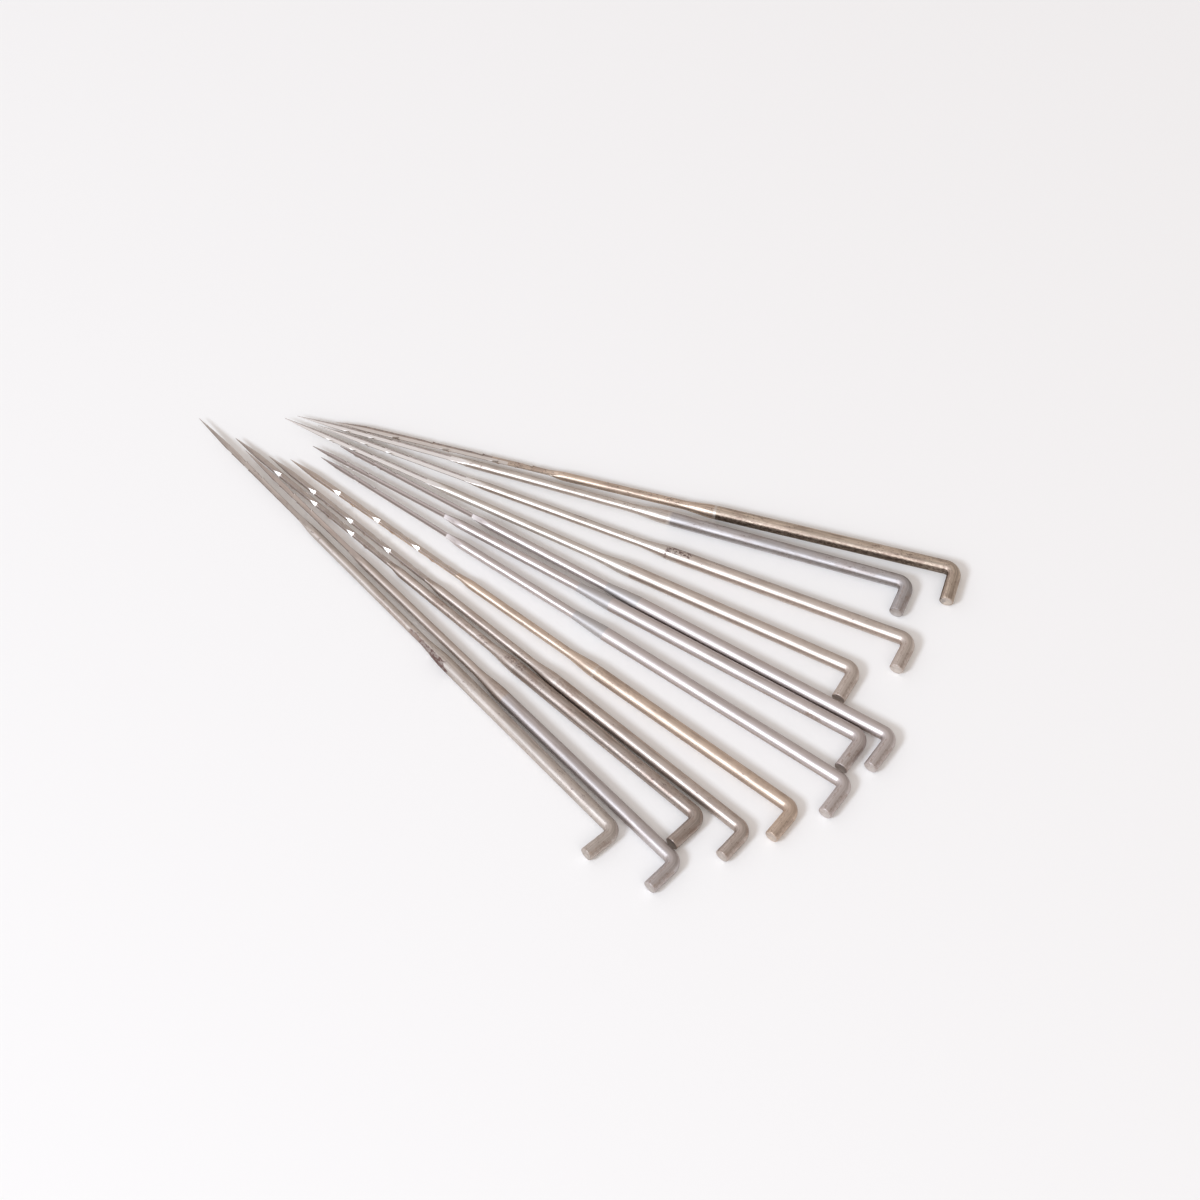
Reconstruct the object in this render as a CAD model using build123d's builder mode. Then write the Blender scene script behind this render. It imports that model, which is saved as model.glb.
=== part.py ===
from build123d import *

import os
from dataclasses import dataclass
from math import asin, cos, degrees, radians, sin

# Twelve felting needles laid side by side in an open fan, all cranks the same way.
# Each needle is one piece of hard steel wire: cut crank, tight bend, shank, shoulder,
# neck, second taper, three-edged barbed blade and point.
# Millimetres, +Z up, the wires lie on Z = 0 and the origin is at the bottom centre of the fan.

os.makedirs("parts", exist_ok=True)

# The wire and its crank, the same on every needle
needle_length = 76.2        # back of the crank to the point
shank_diameter = 1.63
crank_length = 4.5          # from the shank's axis to the cut end
bend_radius = 1.2           # on the wire's centre line
cut_bevel = 0.07            # broken edge round the cut end
tip_radius = 0.03
lying_gap = 0.05            # least space between two needles that lie against each other

# The barbs, pressed into the three edges of every blade
barb_depth = 0.15
barb_ramp = 1.0             # from the throat towards the point, where the cut leaves the edge
barb_lean = 0.05            # how far the lip hangs over the throat
kick_up = 0.05              # how far the lip is raised over the edge
lip_length = 0.3
lip_width = 0.14

# Coarse needles: short neck, long thick blade, barbs far apart
coarse_shank = 28.9         # crank axis to shoulder
coarse_shoulder = 3.8
coarse_neck = 14.3
coarse_taper = 2.4
coarse_point = 3.8
coarse_neck_diameter = 1.05
coarse_blade_diameter = 0.74
coarse_first_barb = 7.95    # point to the nearest throat
coarse_barb_pitch = 6.15

# Fine needles: long shank, abrupt second taper, thin blade barbed near the point
fine_shank = 33.9
fine_shoulder = 4.3
fine_neck = 15.7
fine_taper = 3.1
fine_point = 3.0
fine_neck_diameter = 1.08
fine_blade_diameter = 0.6
fine_first_barb = 2.7
fine_barb_pitch = 3.15

# Medium needles: long neck and a long slender point
medium_shank = 29.4
medium_shoulder = 4.3
medium_neck = 19.1
medium_taper = 4.0
medium_point = 5.5
medium_neck_diameter = 1.03
medium_blade_diameter = 0.68
medium_first_barb = 6.7
medium_barb_pitch = 3.15

coarse_rows = 3             # barbs along each edge
close_rows = 2

edges = 3                   # a blade has three edges
flat_share = 0.6            # a blade's wide flats, as a share of its radius
land_share = 0.96           # the narrow land along each edge, as a share of the blade's radius
bend_steps = 4              # the bend is drawn in this many equal steps
first_heading = 130.7       # degrees, the leftmost needle's point, from +X


@dataclass
class Kind:
    """One pattern of needle: where its sections start, along the axis from the crank, and its barbs."""

    shank: float
    shoulder: float
    neck: float
    taper: float
    point: float
    neck_diameter: float
    blade_diameter: float
    first_barb: float
    barb_pitch: float
    rows: int


@dataclass
class Place:
    """Where one needle lies: the corner of its two axes, its heading and its crank."""

    x: float
    y: float
    heading: float
    crank: float
    crank_angle: float


coarse = Kind(
    coarse_shank, coarse_shoulder, coarse_neck, coarse_taper, coarse_point,
    coarse_neck_diameter, coarse_blade_diameter, coarse_first_barb, coarse_barb_pitch, coarse_rows,
)
fine = Kind(
    fine_shank, fine_shoulder, fine_neck, fine_taper, fine_point,
    fine_neck_diameter, fine_blade_diameter, fine_first_barb, fine_barb_pitch, close_rows,
)
medium = Kind(
    medium_shank, medium_shoulder, medium_neck, medium_taper, medium_point,
    medium_neck_diameter, medium_blade_diameter, medium_first_barb, medium_barb_pitch, close_rows,
)

# One row for each needle from left to right.
# advance, side gap and nip are shares of the shank's diameter: how far the corner lies ahead of
# the last one, the space beside the last shank, and how far the point that ends first lies from
# the other needle's axis. "beside" leaves the side gap between the two shanks, "end on" leaves
# it between the last shank and this needle's cut end.
# crank share is this crank's length as a share of crank_length. Crank angle and roll are
# degrees: between shank and crank, and the first blade edge's tilt from up to the crank's side.
layout_shares = [
    # kind, advance, way, side gap, nip, crank share, crank angle, roll
    (medium, 0, "beside", 0, 0, 0.98, 91.8, 70),
    (medium, -4.5, "beside", 0.515, 0.767, 0.97, 95.9, 70),
    (coarse, 1.52, "end on", 0.205, 0.212, 1.04, 90.7, 38),
    (coarse, -2.93, "beside", 0.374, 0.571, 0.94, 93.5, 38),
    (coarse, -1.28, "end on", 0.316, 0.86, 0.98, 93.1, 38),
    (fine, -1.52, "end on", 0.561, 1.564, 1.03, 92.3, 90),
    (fine, 1.25, "end on", 0.267, 0.506, 1.07, 89.1, 90),
    (fine, -1.66, "beside", 0.13, 1.067, 1.06, 88.8, 90),
    (medium, 4.96, "end on", 0.205, 0.221, 0.98, 89.5, 65),
    (medium, -2.29, "end on", 0.917, 0.58, 0.95, 88.6, 65),
    (medium, 1.93, "end on", 1.31, 0.327, 0.96, 86.5, 65),
    (coarse, -2.8, "beside", 1.276, 0.215, 1.04, 90.0, 60),
]

shank_radius = shank_diameter / 2
axis_length = needle_length - shank_radius      # crank axis to the point


def outline(kind):
    """The needle's half profile from the shoulder to the point, as (along, radius)."""
    neck_start = kind.shank + kind.shoulder
    neck_end = neck_start + kind.neck
    return [
        (kind.shank, shank_radius),
        (neck_start, kind.neck_diameter / 2),
        (neck_end, kind.neck_diameter / 2),
        (neck_end + kind.taper, kind.blade_diameter / 2),
        (axis_length - kind.point, kind.blade_diameter / 2),
        (axis_length - tip_radius, tip_radius),
    ]


def radius_at(kind, along):
    """The needle's radius at a distance along its axis, and 0 past the point."""
    if along > axis_length:
        return 0
    last_along, last_radius = 0, shank_radius
    for next_along, next_radius in outline(kind):
        if along <= next_along:
            share = (along - last_along) / (next_along - last_along)
            return last_radius + share * (next_radius - last_radius)
        last_along, last_radius = next_along, next_radius
    return tip_radius


def closing_turn(last_kind, kind, advance, spread, nip):
    """How far a needle turns to bring the first point that ends to its nip from the other axis.

    It turns less where the two needles would otherwise come within the lying gap.
    """
    turn = degrees(asin((spread - nip) / (axis_length - max(advance, 0))))
    marks = [along for along, radius in outline(kind)] + [axis_length]
    marks += [along - advance for along, radius in outline(last_kind)] + [axis_length - advance]
    for along in marks:
        if 0 < along <= axis_length and along + advance <= axis_length:
            space = radius_at(last_kind, along + advance) + radius_at(kind, along) + lying_gap
            turn = min(turn, degrees(asin((spread - space) / along)))
    return turn


def lay_out(rows):
    """Lays each needle beside the last one and returns their places, with needle one at 0, 0."""
    places = []
    last_kind = None
    for kind, advance_share, way, gap_share, nip_share, crank_share, crank_angle, roll in rows:
        crank = crank_share * crank_length
        if not places:
            places.append(Place(0, 0, first_heading, crank, crank_angle))
            last_kind = kind
            continue
        last = places[-1]
        reach = crank if way == "end on" else shank_radius
        spread = shank_radius + gap_share * shank_diameter + reach
        advance = advance_share * shank_diameter
        ahead = Vector(1, 0).rotate(Axis.Z, last.heading)
        aside = Vector(0, -1).rotate(Axis.Z, last.heading)
        corner = Vector(last.x, last.y) + ahead * advance + aside * spread
        turn = closing_turn(last_kind, kind, advance, spread, nip_share * shank_diameter)
        places.append(Place(corner.X, corner.Y, last.heading + turn, crank, crank_angle))
        last_kind = kind
    return places


def bend_places(place):
    """The bend's centre, and the way from it to each ring of the bend, from crank to shank."""
    out = bend_radius / sin(radians(place.crank_angle / 2))
    centre = Vector(place.x, place.y) + Vector(out, 0).rotate(
        Axis.Z, place.heading + place.crank_angle / 2
    )
    first = place.heading + place.crank_angle + 90
    step = (180 - place.crank_angle) / bend_steps
    return [(centre, first + number * step) for number in range(bend_steps + 1)]


def extent_points(place):
    """The points of a needle's plan that can lie furthest out: point, cut end and back of the bend."""
    corner = Vector(place.x, place.y)
    points = [corner + Vector(axis_length, 0).rotate(Axis.Z, place.heading)]
    crank_heading = place.heading + place.crank_angle
    for along, across in (
        (place.crank, shank_radius - cut_bevel),
        (place.crank - cut_bevel, shank_radius),
    ):
        for side in (across, -across):
            points.append(corner + Vector(along, side).rotate(Axis.Z, crank_heading))
    for centre, compass in bend_places(place):
        points.append(centre + Vector(bend_radius + shank_radius, 0).rotate(Axis.Z, compass))
    return points


def radial_plane(axis_plane, tilt):
    """The plane through the needle's axis whose second direction is tilted from up to the crank's side."""
    normal = -axis_plane.y_dir.rotate(Axis((0, 0, 0), axis_plane.x_dir), -tilt)
    return Plane(origin=axis_plane.origin, x_dir=axis_plane.x_dir, z_dir=normal)


def rod_rings(kind, place):
    """The rings the thick wire is drawn through, from cut end to shoulder, as (plane, radius)."""
    bent = place.heading + place.crank_angle
    corner = Vector(place.x, place.y, shank_radius)
    up = Vector(0, 0, 1)

    def ring(position, heading, radius):
        return Plane(origin=position, x_dir=up, z_dir=Vector(1, 0).rotate(Axis.Z, heading)), radius

    rings = [
        ring(corner + Vector(place.crank, 0).rotate(Axis.Z, bent), bent + 180,
             shank_radius - cut_bevel),
        ring(corner + Vector(place.crank - cut_bevel, 0).rotate(Axis.Z, bent), bent + 180,
             shank_radius),
    ]
    for centre, compass in bend_places(place):
        position = centre + Vector(bend_radius, 0).rotate(Axis.Z, compass)
        rings.append(ring(position + up * shank_radius, compass + 90, shank_radius))
    shank_end = corner + Vector(kind.shank, 0).rotate(Axis.Z, place.heading)
    rings.append(ring(shank_end, place.heading, shank_radius))
    return rings


def side_outline(kind, side_share):
    """The line a side of the blade follows, from the neck to the point, as (along, from axis)."""
    neck_end, neck_radius = outline(kind)[2]
    blade_start, blade_radius = outline(kind)[3]
    return [
        (neck_end, neck_radius),
        (blade_start, blade_radius * side_share),
        (axis_length - kind.point, blade_radius * side_share),
        (axis_length, tip_radius * side_share),
    ]


def build_needle(name, kind, place, roll):
    """Builds one needle as one solid and writes it."""
    axis_plane = Plane(
        origin=(place.x, place.y, shank_radius),
        x_dir=(cos(radians(place.heading)), sin(radians(place.heading)), 0),
        z_dir=(0, 0, 1),
    )
    neck_start, neck_radius = outline(kind)[1]
    blade_radius = kind.blade_diameter / 2

    with BuildPart() as needle:
        # the crank, the bend and the shank are one bent wire
        for plane, radius in rod_rings(kind, place):
            with BuildSketch(plane):
                Circle(radius)
        loft(ruled=True)

        # the shoulder and the neck are drawn down round the same axis
        with BuildSketch(axis_plane):
            with BuildLine():
                Polyline(
                    (kind.shank, 0),
                    (kind.shank, shank_radius),
                    (neck_start, neck_radius),
                    (axis_length, neck_radius),
                    (axis_length, 0),
                    close=True,
                )
            make_face()
        revolve(axis=Axis(axis_plane.origin, axis_plane.x_dir))

        # the second taper, the blade and the point are pressed flat on three wide sides
        # and, along the edges between them, on three narrow lands
        for edge in range(edges):
            land_tilt = roll + edge * 360 / edges
            flat_tilt = land_tilt + 180 / edges
            for tilt, side_share in ((flat_tilt, flat_share), (land_tilt, land_share)):
                with BuildSketch(radial_plane(axis_plane, tilt)):
                    with BuildLine():
                        Polyline(
                            *side_outline(kind, side_share),
                            (needle_length, 0),
                            (needle_length, shank_radius),
                            (kind.shank + kind.shoulder + kind.neck, shank_radius),
                            close=True,
                        )
                    make_face()
                extrude(amount=shank_radius, both=True, mode=Mode.SUBTRACT)

        # each edge has its row of barbs, a third of a pitch behind the row before
        for edge in range(edges):
            edge_plane = radial_plane(axis_plane, roll + edge * 360 / edges)
            stagger = edge * kind.barb_pitch / edges
            throats = [
                axis_length - kind.first_barb - stagger - row * kind.barb_pitch
                for row in range(kind.rows)
            ]
            throat_radius = blade_radius - barb_depth
            lip_radius = blade_radius + kick_up
            with BuildSketch(edge_plane):
                for throat in throats:
                    with BuildLine():
                        Polyline(
                            (throat - lip_length, throat_radius),
                            (throat - lip_length, blade_radius - kick_up),
                            (throat + barb_lean, lip_radius),
                            (throat + barb_lean, throat_radius),
                            close=True,
                        )
                    make_face()
            extrude(amount=lip_width / 2, both=True)
            with BuildSketch(edge_plane):
                for throat in throats:
                    with BuildLine():
                        Polyline(
                            (throat, throat_radius),
                            (throat + barb_lean, lip_radius),
                            (throat + barb_ramp, lip_radius),
                            (throat + barb_ramp, blade_radius),
                            close=True,
                        )
                    make_face()
            extrude(amount=blade_radius, both=True, mode=Mode.SUBTRACT)

    needle.part.label = name
    export_step(needle.part, f"parts/{name}.step")
    return needle.part


laid = lay_out(layout_shares)
reached = [point for place in laid for point in extent_points(place)]
middle_x = (min(point.X for point in reached) + max(point.X for point in reached)) / 2
middle_y = (min(point.Y for point in reached) + max(point.Y for point in reached)) / 2
for place in laid:
    place.x -= middle_x
    place.y -= middle_y

needles = [
    build_needle(f"needle_{number:02d}", row[0], place, row[-1])
    for number, (row, place) in enumerate(zip(layout_shares, laid), start=1)
]
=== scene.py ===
"""A fan of twelve felting needles, lying on a pale table.

Each needle is one piece of steel wire. It is modelled straight, from the shank to the point,
once for each kind, and every copy then gets its own bend, crank and finish.
"""

from math import atan2, cos, pi, radians, sin, tan

import bmesh
import bpy
import numpy as np
from bpy.props import (
    FloatProperty, FloatVectorProperty, IntProperty, PointerProperty,
)
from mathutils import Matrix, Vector


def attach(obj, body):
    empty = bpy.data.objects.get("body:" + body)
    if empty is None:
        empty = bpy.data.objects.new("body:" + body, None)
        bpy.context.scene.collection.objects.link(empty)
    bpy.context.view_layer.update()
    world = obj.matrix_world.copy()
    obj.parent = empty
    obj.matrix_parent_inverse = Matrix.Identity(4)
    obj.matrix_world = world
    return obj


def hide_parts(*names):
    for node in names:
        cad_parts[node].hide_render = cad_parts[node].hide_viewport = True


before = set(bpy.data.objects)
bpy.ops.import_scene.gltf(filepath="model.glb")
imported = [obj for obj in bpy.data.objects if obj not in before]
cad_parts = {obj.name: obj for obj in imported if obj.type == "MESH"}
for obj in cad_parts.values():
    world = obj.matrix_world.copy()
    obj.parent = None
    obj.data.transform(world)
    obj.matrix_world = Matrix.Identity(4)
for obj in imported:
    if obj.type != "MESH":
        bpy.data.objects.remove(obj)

bl_info = {
    "name": "Felting needles",
    "version": (1, 0, 0),
    "blender": (4, 5, 0),
    "location": "View3D > Sidebar > Felting",
    "description": "A fan of twelve cranked steel needles and the table under them",
    "category": "Object",
}

MM = 0.001
SIDES = 48                  # points round the wire
EDGES = 3                   # of a pressed blade
WIRE_START = 3 * MM         # from the crank's axis to where the straight wire starts
FLAT_SHARE = 0.6            # from a blade's axis to its flats, as a share of its radius
BARB_REACH = 0.26           # half a barb's width before it is spread, as a share of that radius
LIP = 0.36 * MM             # length of the raised lip behind a barb's throat
SAME_RING = 0.001 * MM      # points that lie closer than this along the wire are on one ring
SHOULDER_ZONE = (36 * MM, 47.5 * MM)    # from the point; every kind's shoulder starts here
CAMERA_PLACE = (2.96 * MM, -254.83 * MM, 378.2 * MM)
CAMERA_DOWN = 55.34         # degrees below the horizon

# The needles from left to right: the kind, how far the first edge leans from straight up
# towards the crank's side, in degrees, and the finish.
NEEDLES = [
    ("medium", 70, "rusted"),
    ("medium", 70, "lilac"),
    ("coarse", 38, "ringed"),
    ("coarse", 38, "umber"),
    ("coarse", 38, "golden"),
    ("fine", 90, "grey"),
    ("fine", 90, "grey_dull"),
    ("fine", 90, "grey_clean"),
    ("medium", 84, "beige"),
    ("medium", 84, "stained"),
    ("medium", 84, "blued"),
    ("coarse", 78, "aged"),
]


def length(name, description, millimetres):
    """A size that the user can change, in metres."""
    return FloatProperty(
        name=name, description=description, default=millimetres * MM,
        min=0, unit="LENGTH", precision=5,
    )


def colour(name, description, value):
    """A colour that the user can change."""
    return FloatVectorProperty(
        name=name, description=description, default=value,
        subtype="COLOR", size=3, min=0, max=1,
    )


class WireSizes(bpy.types.PropertyGroup):
    """Sizes that all the needles share."""

    overall: length("Overall length", "Back of the crank to the point", 76.2)
    diameter: length("Wire diameter", "Thickness of the shank and the crank", 1.63)
    bend_radius: length("Bend radius", "On the centre line of the wire", 1.2)
    bevel: length("Cut bevel", "Broken edge round the cut end", 0.07)
    tip_radius: length("Tip radius", "Half the thickness of the very point", 0.03)


class CoarseSizes(bpy.types.PropertyGroup):
    """Needles with a short neck, a long thick blade and barbs far apart."""

    shank: length("Shank", "Crank axis to the shoulder", 28.9)
    shoulder: length("Shoulder", "Length of the first taper", 3.8)
    ease: FloatProperty(
        name="Shoulder ease", description="0 is a plain cone, 1 a soft one", default=0.6,
        min=0, max=1,
    )
    neck: length("Neck", "Length of the round neck", 14.3)
    taper: length("Second taper", "Where the round neck turns three-edged", 2.4)
    point: length("Point", "Length of the sharpened end", 3.8)
    neck_diameter: length("Neck diameter", "Thickness of the neck", 1.05)
    blade_diameter: length("Blade diameter", "Circle round the three edges", 0.74)
    first_barb: length("First barb", "Point to the nearest throat", 7.95)
    barb_pitch: length("Barb pitch", "Between the barbs of one edge", 6.15)
    barb_ramp: length("Barb ramp", "Length of the cut in front of a barb", 1.15)
    barb_depth: length("Barb depth", "Depth of the throat under the edge", 0.12)
    barb_width: length("Barb width", "Across the cut at the throat", 0.62)
    kick_up: length("Kick-up", "How far a barb's lip stands over the edge", 0.05)
    rows: IntProperty(name="Rows", description="Barbs along each edge", default=3, min=1)


class FineSizes(bpy.types.PropertyGroup):
    """Needles with a long shank, an abrupt second taper and a thin blade."""

    shank: length("Shank", "Crank axis to the shoulder", 33.9)
    shoulder: length("Shoulder", "Length of the first taper", 4.3)
    ease: FloatProperty(
        name="Shoulder ease", description="0 is a plain cone, 1 a soft one", default=0.1,
        min=0, max=1,
    )
    neck: length("Neck", "Length of the round neck", 15.7)
    taper: length("Second taper", "Where the round neck turns three-edged", 3.1)
    point: length("Point", "Length of the sharpened end", 3.0)
    neck_diameter: length("Neck diameter", "Thickness of the neck", 1.08)
    blade_diameter: length("Blade diameter", "Circle round the three edges", 0.6)
    first_barb: length("First barb", "Point to the nearest throat", 2.7)
    barb_pitch: length("Barb pitch", "Between the barbs of one edge", 3.15)
    barb_ramp: length("Barb ramp", "Length of the cut in front of a barb", 0.7)
    barb_depth: length("Barb depth", "Depth of the throat under the edge", 0.1)
    barb_width: length("Barb width", "Across the cut at the throat", 0.26)
    kick_up: length("Kick-up", "How far a barb's lip stands over the edge", 0.05)
    rows: IntProperty(name="Rows", description="Barbs along each edge", default=2, min=1)


class MediumSizes(bpy.types.PropertyGroup):
    """Needles with a long neck and a long slender point."""

    shank: length("Shank", "Crank axis to the shoulder", 29.4)
    shoulder: length("Shoulder", "Length of the first taper", 4.3)
    ease: FloatProperty(
        name="Shoulder ease", description="0 is a plain cone, 1 a soft one", default=0.7,
        min=0, max=1,
    )
    neck: length("Neck", "Length of the round neck", 19.1)
    taper: length("Second taper", "Where the round neck turns three-edged", 4.0)
    point: length("Point", "Length of the sharpened end", 5.5)
    neck_diameter: length("Neck diameter", "Thickness of the neck", 1.03)
    blade_diameter: length("Blade diameter", "Circle round the three edges", 0.68)
    first_barb: length("First barb", "Point to the nearest throat", 6.7)
    barb_pitch: length("Barb pitch", "Between the barbs of one edge", 3.15)
    barb_ramp: length("Barb ramp", "Length of the cut in front of a barb", 0.8)
    barb_depth: length("Barb depth", "Depth of the throat under the edge", 0.11)
    barb_width: length("Barb width", "Across the cut at the throat", 0.3)
    kick_up: length("Kick-up", "How far a barb's lip stands over the edge", 0.05)
    rows: IntProperty(name="Rows", description="Barbs along each edge", default=2, min=1)


class FinishColours(bpy.types.PropertyGroup):
    """Colours of the steel, its films and stains, painted light and shade, and the table."""

    beige: colour("Beige steel", "Bare drawn wire", (0.699, 0.616, 0.556))
    dull: colour("Dull steel", "Wire under a thin grey film", (0.632, 0.567, 0.517))
    lilac: colour("Lilac steel", "Wire under a thin bluish film", (0.6, 0.55, 0.538))
    umber: colour("Umber steel", "Wire under a thin brown film", (0.627, 0.544, 0.49))
    dark: colour("Dark steel", "Mottled brown wire", (0.506, 0.435, 0.391))
    golden: colour("Golden steel", "Faintly tempered wire", (0.715, 0.578, 0.47))
    grey: colour("Grey steel", "Neutral ground wire", (0.655, 0.592, 0.572))
    matte: colour("Matte steel", "Ground taper", (0.55, 0.522, 0.512))
    blued: colour("Blued steel", "Wire under a blue tempering film", (0.56, 0.53, 0.53))
    bare: colour("Bare steel", "Polished neck", (0.71, 0.649, 0.594))
    aged: colour("Aged steel", "Wire browned by age", (0.675, 0.563, 0.46))
    # oxide_and_shade is the dark oxide of an aged wire and a dark streak, and also painted
    # shade along the crank's side of a shank and on the blades.
    oxide_and_shade: colour("Dark oxide", "Dark side of an aged wire", (0.11, 0.08, 0.06))
    rust: colour("Rust", "Rusty stain", (0.125, 0.07, 0.06))
    # trace is brown traces and film, and also painted shade along the crank's side of the
    # shanks and down one side of every crank.
    trace: colour("Brown trace", "Thin brown trace at a shoulder", (0.37, 0.275, 0.225))
    # blade_shade is painted shade on the blades' edges and faces.
    blade_shade: colour("Smoky steel", "Film on the pressed blades", (0.3, 0.245, 0.22))
    # pale is a pale ring at some shoulders, and painted highlights on the blades, the barbs'
    # cuts and the cut ends.
    pale: colour("Pale steel", "Freshly cut or rubbed bright", (0.72, 0.67, 0.63))
    table: colour("Table", "The pale table top", (0.864, 0.854, 0.84))


def sizes(kind):
    """The sizes of one kind of needle."""
    return getattr(bpy.context.scene, f"felting_{kind}")


# ---------------------------------------------------------------- where the needles lie


def read_place(node):
    """Where a needle of the frame lies: corner, heading, crank length and crank angle."""
    wire = bpy.context.scene.felting_wire
    spots = np.array([vert.co.to_2d() for vert in node.data.vertices])

    def nearby(end, reach):
        return spots[np.linalg.norm(spots - end, axis=1) < reach]

    one_end = spots[np.linalg.norm(spots - spots.mean(0), axis=1).argmax()]
    other_end = spots[np.linalg.norm(spots - one_end, axis=1).argmax()]
    tip = min((one_end, other_end), key=lambda end: nearby(end, 2 * MM).std(0).sum())
    tip = nearby(tip, 0.1 * MM).mean(0)
    away = np.linalg.norm(spots - tip, axis=1)
    ring = spots[(away > SHOULDER_ZONE[0]) & (away < SHOULDER_ZONE[1])]
    along = (tip - ring.mean(0)) / np.linalg.norm(tip - ring.mean(0))
    aside = np.array((-along[1], along[0]))
    # the widest two points of the shoulder lie evenly about the axis
    widest = ring[[(ring @ aside).argmin(), (ring @ aside).argmax()]].mean(0)
    along = (tip - widest) / np.linalg.norm(tip - widest)
    aside = np.array((-along[1], along[0]))
    corner = tip - along * (wire.overall - wire.diameter / 2)
    crank = spots[(spots - corner) @ aside > 2 * wire.diameter] - corner
    middle = crank.mean(0)
    crank_angle = atan2(middle @ aside, middle @ along)
    out = along * cos(crank_angle) + aside * sin(crank_angle)
    return Vector(corner), atan2(along[1], along[0]), (crank @ out).max(), crank_angle


# ---------------------------------------------------------------- shaping the wire


def eased(share):
    """A share from 0 to 1 that starts and ends gently."""
    return (1 - cos(pi * share)) / 2


def select_points(test):
    """Select the points of the mesh in edit mode whose places pass the test."""
    data = bpy.context.edit_object.data
    mesh = bmesh.from_edit_mesh(data)
    for face in mesh.faces:
        face.select_set(False)
    for edge in mesh.edges:
        edge.select_set(False)
    for vert in mesh.verts:
        vert.select_set(bool(test(vert.co)))
    mesh.select_flush_mode()
    bmesh.update_edit_mesh(data)
    return any(vert.select for vert in mesh.verts)


def select_end(test):
    """Select the one face of the mesh in edit mode whose middle passes the test."""
    data = bpy.context.edit_object.data
    mesh = bmesh.from_edit_mesh(data)
    for face in mesh.faces:
        face.select_set(len(face.verts) > 4 and test(face.calc_center_median()))
    bmesh.update_edit_mesh(data)


def add_disc(name, radius, x):
    """A new disc that faces along the wire, open in edit mode."""
    bpy.ops.object.select_all(action="DESELECT")
    bpy.ops.mesh.primitive_circle_add(
        vertices=SIDES, radius=radius, fill_type="NGON",
        location=(x, 0, 0), rotation=(0, pi / 2, 0),
    )
    disc = bpy.context.active_object
    disc.name = disc.data.name = name
    bpy.ops.object.transform_apply(location=True, rotation=True, scale=True)
    bpy.ops.object.mode_set(mode="EDIT")
    bpy.ops.mesh.select_mode(type="FACE")
    bpy.ops.mesh.select_all(action="SELECT")
    return disc


def extrude(move):
    """Extrude the selected end by a move."""
    bpy.ops.mesh.extrude_region_move(TRANSFORM_OT_translate={"value": move})


def draw_out(rings):
    """Draw the selected end through the rings, each a distance along the wire and a radius."""
    x, radius = rings[0]
    for next_x, next_radius in rings[1:]:
        extrude((next_x - x, 0, 0))
        share = next_radius / radius
        bpy.ops.transform.resize(value=(1, share, share), center_override=(next_x, 0, 0))
        x, radius = next_x, next_radius


def turn_wire(angle):
    """Roll the whole wire about its own axis, leaving edit mode for it and coming back."""
    bpy.ops.object.mode_set(mode="OBJECT")
    wire = bpy.context.active_object
    wire.rotation_euler.x = angle
    bpy.ops.object.transform_apply(location=False, rotation=True, scale=False)
    bpy.ops.object.mode_set(mode="EDIT")


def press_flat(x, flat):
    """Press the underside of one ring of the wire flat."""
    below = -flat - 0.0001 * MM
    if select_points(lambda spot: abs(spot.x - x) < SAME_RING and spot.z < below):
        bpy.ops.transform.resize(value=(1, 1, 0), center_override=(x, 0, -flat))


def barb_throats(kind, edge):
    """Where the barbs of one edge have their throats, along the wire from the crank."""
    wire = bpy.context.scene.felting_wire
    point = wire.overall - wire.diameter / 2
    stagger = edge * kind.barb_pitch / EDGES
    return [
        point - kind.first_barb - stagger - row * kind.barb_pitch for row in range(kind.rows)
    ]


def wire_stations(kind):
    """The rings of a straight wire from the bend to the point.

    Each is a distance along the wire, a radius and a flat's distance from the axis.
    """
    wire = bpy.context.scene.felting_wire
    shank_radius = wire.diameter / 2
    neck_radius = kind.neck_diameter / 2
    blade_radius = kind.blade_diameter / 2
    shoulder_end = kind.shank + kind.shoulder
    neck_end = shoulder_end + kind.neck
    blade_start = neck_end + kind.taper
    point = wire.overall - wire.diameter / 2
    point_start = point - kind.point

    stations = [(x, shank_radius, shank_radius) for x in np.linspace(WIRE_START, kind.shank, 9)]
    for share in np.linspace(0, 1, 17)[1:]:
        drawn = eased(share) * kind.ease + share * (1 - kind.ease)
        radius = shank_radius + (neck_radius - shank_radius) * drawn
        stations.append((kind.shank + share * kind.shoulder, radius, radius))
    for share in np.linspace(0, 1, 7)[1:]:
        stations.append((shoulder_end + share * kind.neck, neck_radius, neck_radius))
    for share in np.linspace(0, 1, 13)[1:]:
        radius = neck_radius + (blade_radius - neck_radius) * eased(share)
        # the flats reach their full depth a little before the taper ends
        flat = radius * (1 - (1 - FLAT_SHARE) * eased(min(1.15 * share, 1)))
        stations.append((neck_end + share * kind.taper, radius, flat))
    # the blade has rings only where its barbs need them: on each ramp, and on the lip behind it
    places = set()
    for edge in range(EDGES):
        for throat in barb_throats(kind, edge):
            places.update(throat + kind.barb_ramp * share for share in (0, 0.3, 0.65, 1))
            places.update(throat - behind * MM for behind in (0.02, 0.12, 0.35))
    last = blade_start
    for x in sorted(places):
        if x - last > 0.015 * MM and x < point_start:
            stations.append((x, blade_radius, blade_radius * FLAT_SHARE))
            last = x
    # the point is a little fuller than a cone, and its very end is rounded over
    for share in np.linspace(0, 1, 9):
        radius = blade_radius + (wire.tip_radius - blade_radius) * share ** 1.15
        stations.append((point_start + share * kind.point * 0.995, radius, radius * FLAT_SHARE))
    end_radius = wire.tip_radius * 0.45
    stations.append((point, end_radius, end_radius * FLAT_SHARE))
    return stations


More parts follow.
